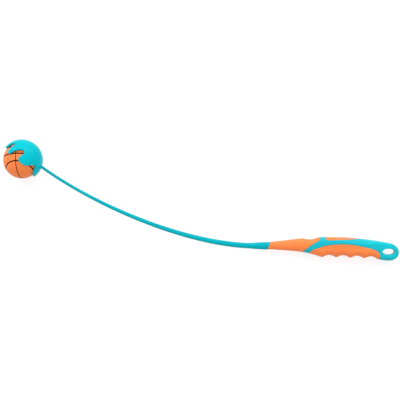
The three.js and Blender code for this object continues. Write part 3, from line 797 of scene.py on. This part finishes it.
def addCup():
    s = cupSizes
    table = np.radians(np.array(s["rim"], float))
    side = table[1:-1][::-1]
    knots = np.vstack([cupDirections(table[:, 0], table[:, 1]),
                       cupDirections(-side[:, 0], side[:, 1])])
    curve = closedCurve(knots, s["spacing"] / cupOuterRadius)
    rim = respaced(cupChart(unitRows(curve)), s["spacing"])
    pinAt = cupChart(np.array([wayAt(armSizes["pinAngle"])]))[0]
    pinHole = ovalLine(pinAt, s["pinHoleRadius"], s["pinHoleSteps"])
    points, faces = lippedSolid(cupSurface, rim[:-1], [pinHole[:-1]], s["wall"], s["spacing"],
                                [(rim, s["rimRound"], s["wall"] / 2)], bothSides=True)
    mesh = meshFrom("cup_fingers", points, faces, "cupPlastic")
    addPiece(mesh, "cup_fingers", "thrower", "turquoise_plastic", "cup")


addCup()


# Handle: one outer form, cut along its soft grips' edges into five pieces.
handleSizes = {
    "length": 211.0, "depth": 32.0, "width": 27.0,
    "fingerPitch": 22.7, "fingerDepth": 3.7, "firstFinger": 0.413, "fingers": 4,
    "ridgeRound": 0.1, "ridgeShare": 0.9,  # how much of the ridges' rounding the grooves win back
    # the tail's end rounds off in the side view, and narrows from above
    "tailRound": 15.0, "tailPower": 2.3, "tailPinch": 0.5, "tailPinchPower": 6,
    # the side flattens where the section table asks for more than flatFrom
    "flatFrom": 1.05, "flatBlend": 0.2, "flatPower": 8,
    "gap": 0.3, "skin": 1.9, "spacing": 0.95, "thumbFineness": 0.7,
    "leastHeight": 0.2,  # what the skin leaves of the height, at least
    "gripLip": 0.6, "shellLip": 0.35, "partingLip": 0.22, "holeLip": 0.5, "partingGap": 0.12,
    "holeLength": 21.2, "holeHeight": 10.9, "holeFlare": 1.0, "holeFromEnd": 16.4, "holeDrop": 9.4,
    "holeSteps": 64, "holeLevels": 10, "holeBack": 1.2,
    # the inner skin near the hole, in shares of the hole's half axes: what lies between near
    # and far is spread from pushed to far
    "roomNear": 0.7, "roomPushed": 1.07, "roomFar": 1.5,
    "neckTurns": 160, "frontRounds": 6, "edgeSteps": 40,
    # along, top, bottom: shares of the length and depth
    "outline": [
        (-0.06, 0.181, -0.184), (0, 0.203, -0.183), (0.091, 0.253, -0.214),
        (0.183, 0.328, -0.259), (0.228, 0.362, -0.289), (0.26, 0.379, -0.32),
        (0.29, 0.341, -0.357), (0.321, 0.327, -0.4), (0.352, 0.364, -0.455),
        (0.383, 0.428, -0.518), (0.413, 0.453, -0.573), (0.471, 0.442, -0.58),
        (0.566, 0.433, -0.594), (0.659, 0.394, -0.618), (0.78, 0.308, -0.648),
        (0.843, 0.248, -0.685), (0.874, 0.212, -0.725), (0.904, 0.178, -0.75),
        (0.936, 0.143, -0.754), (1, 0.07, -0.715),
    ],
    # along, half width, corner power, flatness of the sides
    "section": [
        (-0.06, 0.205, 2.1, 1), (0, 0.233, 2.1, 1), (0.091, 0.281, 2.2, 1),
        (0.183, 0.348, 2.3, 1), (0.26, 0.4, 2.3, 1), (0.321, 0.43, 2.4, 1.02),
        (0.413, 0.474, 2.4, 1.04), (0.525, 0.497, 2.4, 1.05), (0.63, 0.5, 2.4, 1.05),
        (0.733, 0.481, 2.4, 1.05), (0.8, 0.44, 2.4, 1.08), (0.85, 0.37, 2.4, 1.3),
        (0.868, 0.36, 2.4, 1.4), (1, 0.36, 2.4, 1.4),
    ],
    # edges of the grips in the side view
    "neckRear": [
        (0.413, 0.55), (0.396, 0.424), (0.378, 0.26), (0.338, 0.098), (0.295, -0.105),
        (0.265, -0.285), (0.24, -0.45),
    ],
    "fingerTop": [
        (0.28, -0.49), (0.31, -0.328), (0.345, -0.17), (0.389, -0.075), (0.44, 0.034),
        (0.516, 0.084), (0.552, 0.098), (0.626, 0.075), (0.699, -0.006), (0.772, -0.116),
        (0.817, -0.22), (0.839, -0.318), (0.851, -0.442), (0.853, -0.59), (0.853, -0.85),
    ],
    "thumbEdge": [
        (0.436, 0.6), (0.437, 0.42), (0.44, 0.325), (0.452, 0.29), (0.481, 0.292), (0.551, 0.316),
        (0.625, 0.331), (0.678, 0.363), (0.718, 0.43), (0.75, 0.52),
    ],
}
tailStart = shoulderX + handleSizes["length"] - handleSizes["tailRound"]
flatScale = 15.0  # millimetres of flattened width for a radian round the handle
topTurn, bottomTurn = math.pi / 2, -math.pi / 2  # where the handle meets its middle plane


def smoothColumn(table, column):
    # a smooth curve through one of the table's columns that never overshoots
    table = np.array(table, float)
    at, value = table[:, 0], table[:, column]
    rise = np.diff(value) / np.diff(at)
    slope = np.concatenate([rise[:1], np.zeros(len(rise) - 1), rise[-1:]])
    for i in range(1, len(rise)):
        before, after = rise[i - 1], rise[i]
        slope[i] = 2 * before * after / (before + after) if before * after > 0 else 0.0

    def curve(share):
        i = np.clip(np.searchsorted(at, share, side="left") - 1, 0, len(rise) - 1)
        width = at[i + 1] - at[i]
        t = (share - at[i]) / width
        return (value[i] * (2 * t**3 - 3 * t**2 + 1) + slope[i] * width * (t**3 - 2 * t**2 + t)
                + value[i + 1] * (3 * t**2 - 2 * t**3) + slope[i + 1] * width * (t**3 - t**2))
    return curve


topShare, bottomShare = (smoothColumn(handleSizes["outline"], k) for k in (1, 2))
widthShare, powerAt, flatAt = (smoothColumn(handleSizes["section"], k) for k in (1, 2, 3))


def grooveDepth(x):
    s = handleSizes
    along = (x - shoulderX - s["firstFinger"] * s["length"]) / s["fingerPitch"]
    wave = np.sqrt(np.sin(np.pi * along) ** 2 + s["ridgeRound"] ** 2) - s["ridgeRound"]
    depth = s["fingerDepth"] * wave / (1 - s["ridgeShare"] * s["ridgeRound"])
    return np.where((along > 0) & (along < s["fingers"]), depth, 0)


def pastTailStart(x, most=1):
    return np.clip((x - tailStart) / handleSizes["tailRound"], 0, most)


def handleHeights(x, inset):
    # share of the length, height of the waist, heights above and below it, half width
    s = handleSizes
    share = (x - shoulderX) / s["length"]
    top, bottom = -drop + topShare(share) * s["depth"], -drop + bottomShare(share) * s["depth"]
    waist = (top + bottom) / 2
    past = pastTailStart(x)
    taper = (1 - past ** s["tailPower"]) ** (1 / s["tailPower"])
    narrow = 1 - s["tailPinch"] + s["tailPinch"] * np.sqrt(1 - past ** s["tailPinchPower"])
    up, down = (top - waist) * taper, (waist - bottom) * taper - grooveDepth(x)
    up, down = (np.maximum(height - inset, s["leastHeight"] * height) for height in (up, down))
    return share, waist, up, down, widthShare(share) * s["width"] * narrow - inset


def levelled(value):
    # rises to 1 and stays there, with a round shoulder
    power = handleSizes["flatPower"]
    return value / (1 + value**power) ** (1 / power)


def handleSurface(x, turn, inset=0.0):
    s = handleSizes
    share, waist, up, down, halfWidth = handleHeights(x, inset)
    power = 2 / powerAt(share)
    flat = flatAt(share)
    cos, sin = np.cos(turn), np.sin(turn)
    side = np.abs(cos) ** power
    rounded = levelled(side * flat) / levelled(flat)
    blend = np.clip((flat - s["flatFrom"]) / s["flatBlend"], 0, 1)
    across = np.minimum(side * flat, 1) * (1 - blend) + rounded * blend
    height = np.sign(sin) * np.abs(sin) ** power
    y = waist + height * np.where(height > 0, up, down)
    x = x - inset * pastTailStart(x) ** 2
    return np.stack([x, y, np.sign(cos) * across * halfWidth], axis=-1)


def turnAt(x, y):
    # the turn at a point of the side view, and whether the point lies on the handle
    share, waist, up, down, _ = handleHeights(x, 0.0)
    height = (y - waist) / np.where(y > waist, up, down)
    sine = np.sign(height) * np.abs(height) ** (powerAt(share) / 2)
    return np.arcsin(np.clip(sine, -1, 1)), np.abs(height) < 1


def edgeCurve(shares, moved):
    # a smooth line in the side view through a grip's edge points, moved aside by the gap
    s = handleSizes
    knots = np.array([(shoulderX + a * s["length"], -drop + b * s["depth"]) for a, b in shares])
    knots = np.vstack([knots[:1], knots, knots[-1:]])
    fine = []
    for i in range(1, len(knots) - 2):
        p0, p1, p2, p3 = knots[i - 1:i + 3]
        t = stepShares(s["edgeSteps"])
        fine.append(0.5 * (2 * p1 + (p2 - p0) * t + (2 * p0 - 5 * p1 + 4 * p2 - p3) * t**2
                           + (3 * p1 - p0 - 3 * p2 + p3) * t**3))
    line = np.vstack(fine + [knots[-1:]])
    return line + moved * leftNormals(np.gradient(line, axis=0))


def edgeOnSurface(shares, moved, topEnd, bottomEnd):
    # the edge's part that lies on the handle, as x and turn, ended on the middle plane
    line = edgeCurve(shares, moved)
    turn, inside = turnAt(line[:, 0], line[:, 1])
    keep = np.flatnonzero(inside)
    first, last = keep[0], keep[-1]
    rows = [(line[first - 1, 0] * 0.5 + line[first, 0] * 0.5, topEnd)]
    rows += [(line[i, 0], turn[i]) for i in range(first, last + 1)]
    rows.append((line[last, 0] * 0.5 + line[last + 1, 0] * 0.5, bottomEnd))
    return np.array(rows)


def flatten(rows):
    # x and turn to a flat chart whose steps are about even on the surface
    x = rows[:, 0]
    along = np.minimum(x, tailStart) + handleSizes["tailRound"] * np.arcsin(pastTailStart(x))
    return np.stack([along, rows[:, 1] * flatScale], axis=1)


def unflatten(chart):
    along = chart[:, 0]
    past = pastTailStart(along, math.pi / 2)
    x = np.minimum(along, tailStart) + handleSizes["tailRound"] * np.sin(past)
    return x, chart[:, 1] / flatScale


def onHandle(chart, sunk):
    return handleSurface(*unflatten(chart), sunk)


holeMiddle = np.array([shoulderX + handleSizes["length"] - handleSizes["holeFromEnd"],
                       -drop - handleSizes["holeDrop"]])
holeAxes = np.array([handleSizes["holeLength"], handleSizes["holeHeight"]]) / 2


def onHalf(chart, sunk):
    # stops just short of the middle plane, where the other shell begins, and leaves room for
    # the wall of the hanging hole on the inside
    s = handleSizes
    points = onHandle(chart, sunk)
    points[:, 2] = np.maximum(points[:, 2], s["partingGap"])
    offset = points[:, :2] - holeMiddle
    reach = np.linalg.norm(offset / holeAxes, axis=1)
    growth = (s["roomFar"] - s["roomPushed"]) / (s["roomFar"] - s["roomNear"])
    pushed = s["roomPushed"] + (reach - s["roomNear"]) * growth
    room = np.where((sunk >= s["skin"]) & (reach < s["roomFar"]), pushed, reach)
    points[:, :2] = holeMiddle + offset * (room / np.maximum(reach, tiny))[:, None]
    return points


def holeLining(point):
    # the wall narrows toward the middle plane, then goes back up inside the shell
    s = handleSizes
    way = (point[:2] - holeMiddle) / holeAxes
    reach = np.linalg.norm(way)
    way = way / reach
    levels = np.linspace(point[2], s["partingGap"], s["holeLevels"] + 1)[1:]
    waist = holeAxes * reach + s["holeFlare"] * ((levels / point[2]) ** 2 - 1)[:, None]
    seen = np.column_stack([holeMiddle + waist * way, levels])
    return np.vstack([seen, (*(holeMiddle + s["holeBack"] * holeAxes * way), s["partingGap"])])


def charted(parts, spacing):
    return np.vstack([respaced(flatten(part), spacing)[:-1] for part in parts])


def lipsOf(parts, reach):
    return [(flatten(part), reach, reach) for part in parts]


def addGrip(name, node, loop, lips):
    s = handleSizes
    points, faces = lippedSolid(onHandle, loop, [], s["skin"], s["spacing"], lips)
    mesh = meshFrom(name, points, faces, "softGrip")
    addPiece(mesh, name, "thrower", "orange_grip", node)


def addNeckGrip():
    s = handleSizes
    lean = math.tan(math.radians(armSizes["shoulderLean"]))
    turns = np.linspace(bottomTurn, 3 * topTurn, s["neckTurns"] + 1)
    # the front edge follows the shoulder's slant, closer with each round
    frontX = np.full(len(turns), shoulderX + s["gap"])
    for _ in range(s["frontRounds"]):
        frontX = shoulderX + s["gap"] + (handleSurface(frontX, turns)[:, 1] + drop) * lean
    front = np.stack([frontX, turns], axis=1)
    side = edgeOnSurface(s["neckRear"], -s["gap"], topTurn, bottomTurn)[::-1]
    rearX = np.interp(np.where(turns > topTurn, math.pi - turns, turns), side[:, 1], side[:, 0])
    rear = np.stack([rearX, turns], axis=1)
    # the sleeve is cut open along its underside to lie flat, and welded there again
    cut = np.stack([front[0], rear[0]])
    low = respaced(flatten(cut), s["spacing"])
    high = low + (0, 2 * math.pi * flatScale)
    loop = np.vstack([low[:-1], charted([rear], s["spacing"]), high[::-1][:-1],
                      charted([front[::-1]], s["spacing"])])
    addGrip("grip_neck", "neck_grip", loop, lipsOf([front, rear], s["gripLip"]))


def addPad(name, node, edge, side, spacing):
    # a pad over the handle's top (side 1) or bottom (side -1), with the same edge left and right
    s = handleSizes
    turn = side * topTurn
    left = edgeOnSurface(s[edge], side * s["gap"], turn, turn)
    right = np.stack([left[::-1, 0], 2 * turn - left[::-1, 1]], axis=1)
    loop = charted([left, right], spacing)
    addGrip(name, node, loop, lipsOf([left, right], s["gripLip"]))


def addShells():
    # what the grips leave, parted on the middle plane
    s = handleSizes
    endTop, endBottom = ((shoulderX + s["length"], turn) for turn in (topTurn, bottomTurn))
    neck = edgeOnSurface(s["neckRear"], 0, topTurn, bottomTurn)
    finger = edgeOnSurface(s["fingerTop"], 0, bottomTurn, bottomTurn)
    thumb = edgeOnSurface(s["thumbEdge"], 0, topTurn, topTurn)
    bridge = np.stack([neck[0], thumb[0]])
    back = np.array([thumb[-1], endTop])
    tail = np.array([endTop, endBottom])
    belly = np.array([endBottom, finger[-1]])
    chin = np.stack([finger[0], neck[-1]])
    loop = charted([neck[::-1], bridge, thumb, back, tail, belly, finger[::-1], chin], s["spacing"])
    holeX, holeY = ovalLine(holeMiddle, holeAxes, s["holeSteps"]).T
    hole = np.stack([holeX, turnAt(holeX, holeY)[0]], axis=1)
    lips = lipsOf([neck, finger, thumb], s["shellLip"])
    lips += lipsOf([bridge, back, belly, chin], s["partingLip"])
    lips += lipsOf([hole], s["holeLip"])
    points, faces = lippedSolid(onHalf, loop, [flatten(hole[:-1])], s["skin"], s["spacing"], lips,
                                lineHole=holeLining)
    for name, node, side in (("shell_left", "handle_shell_left", 1),
                             ("shell_right", "handle_shell_right", -1)):
        mesh = meshFrom(name, points * (1, 1, side), faces, "handlePlastic")
        addPiece(mesh, name, "thrower", "turquoise_plastic", node)


addNeckGrip()
addPad("grip_fingers", "finger_grip", "fingerTop", -1, handleSizes["spacing"])
addPad("grip_thumb", "thumb_pad", "thumbEdge", 1,
       handleSizes["spacing"] * handleSizes["thumbFineness"])
addShells()
